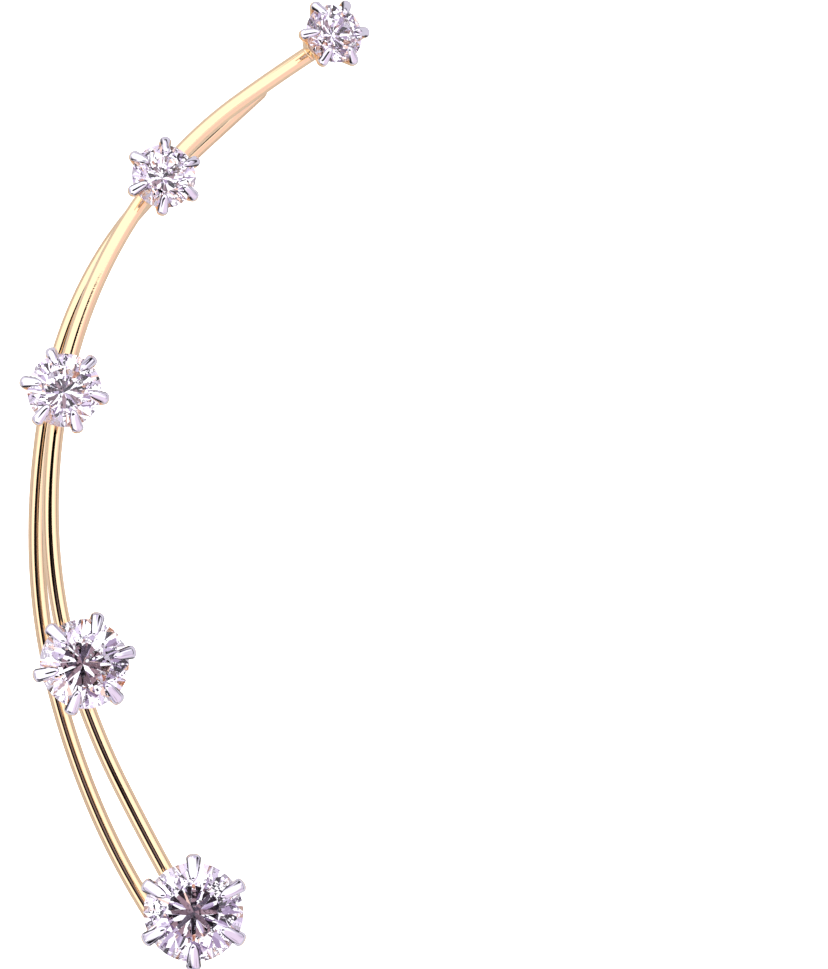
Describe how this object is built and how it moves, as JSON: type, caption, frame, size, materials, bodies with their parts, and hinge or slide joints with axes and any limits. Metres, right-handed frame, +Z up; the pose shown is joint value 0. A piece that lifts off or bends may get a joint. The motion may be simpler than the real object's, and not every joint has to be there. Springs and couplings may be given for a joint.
{
  "type": "ear climber earring",
  "caption": "Ear climber with graded round stones in claw settings along a bent wire that turns back as an ear wire and ends in a free rounded tip.",
  "frame": {"origin": "centre of the climber's box in plan, on the surface that its ear wire lies on", "axes": "+Y towards the smallest stone, along the climber's length; +Z up through the stones, away from the ear wire; +X to the open side of the curve"},
  "size_m": [0.0176, 0.0486, 0.0096],
  "materials": {
    "gold_plate": "polished yellow gold plate",
    "clear_stone": "clear polished facets"
  },
  "bodies": {
    "root": {"climber_frame": "gold_plate", "stone_1": "clear_stone", "stone_2": "clear_stone", "stone_3": "clear_stone", "stone_4": "clear_stone", "stone_5": "clear_stone"}
  },
  "joints": []
}
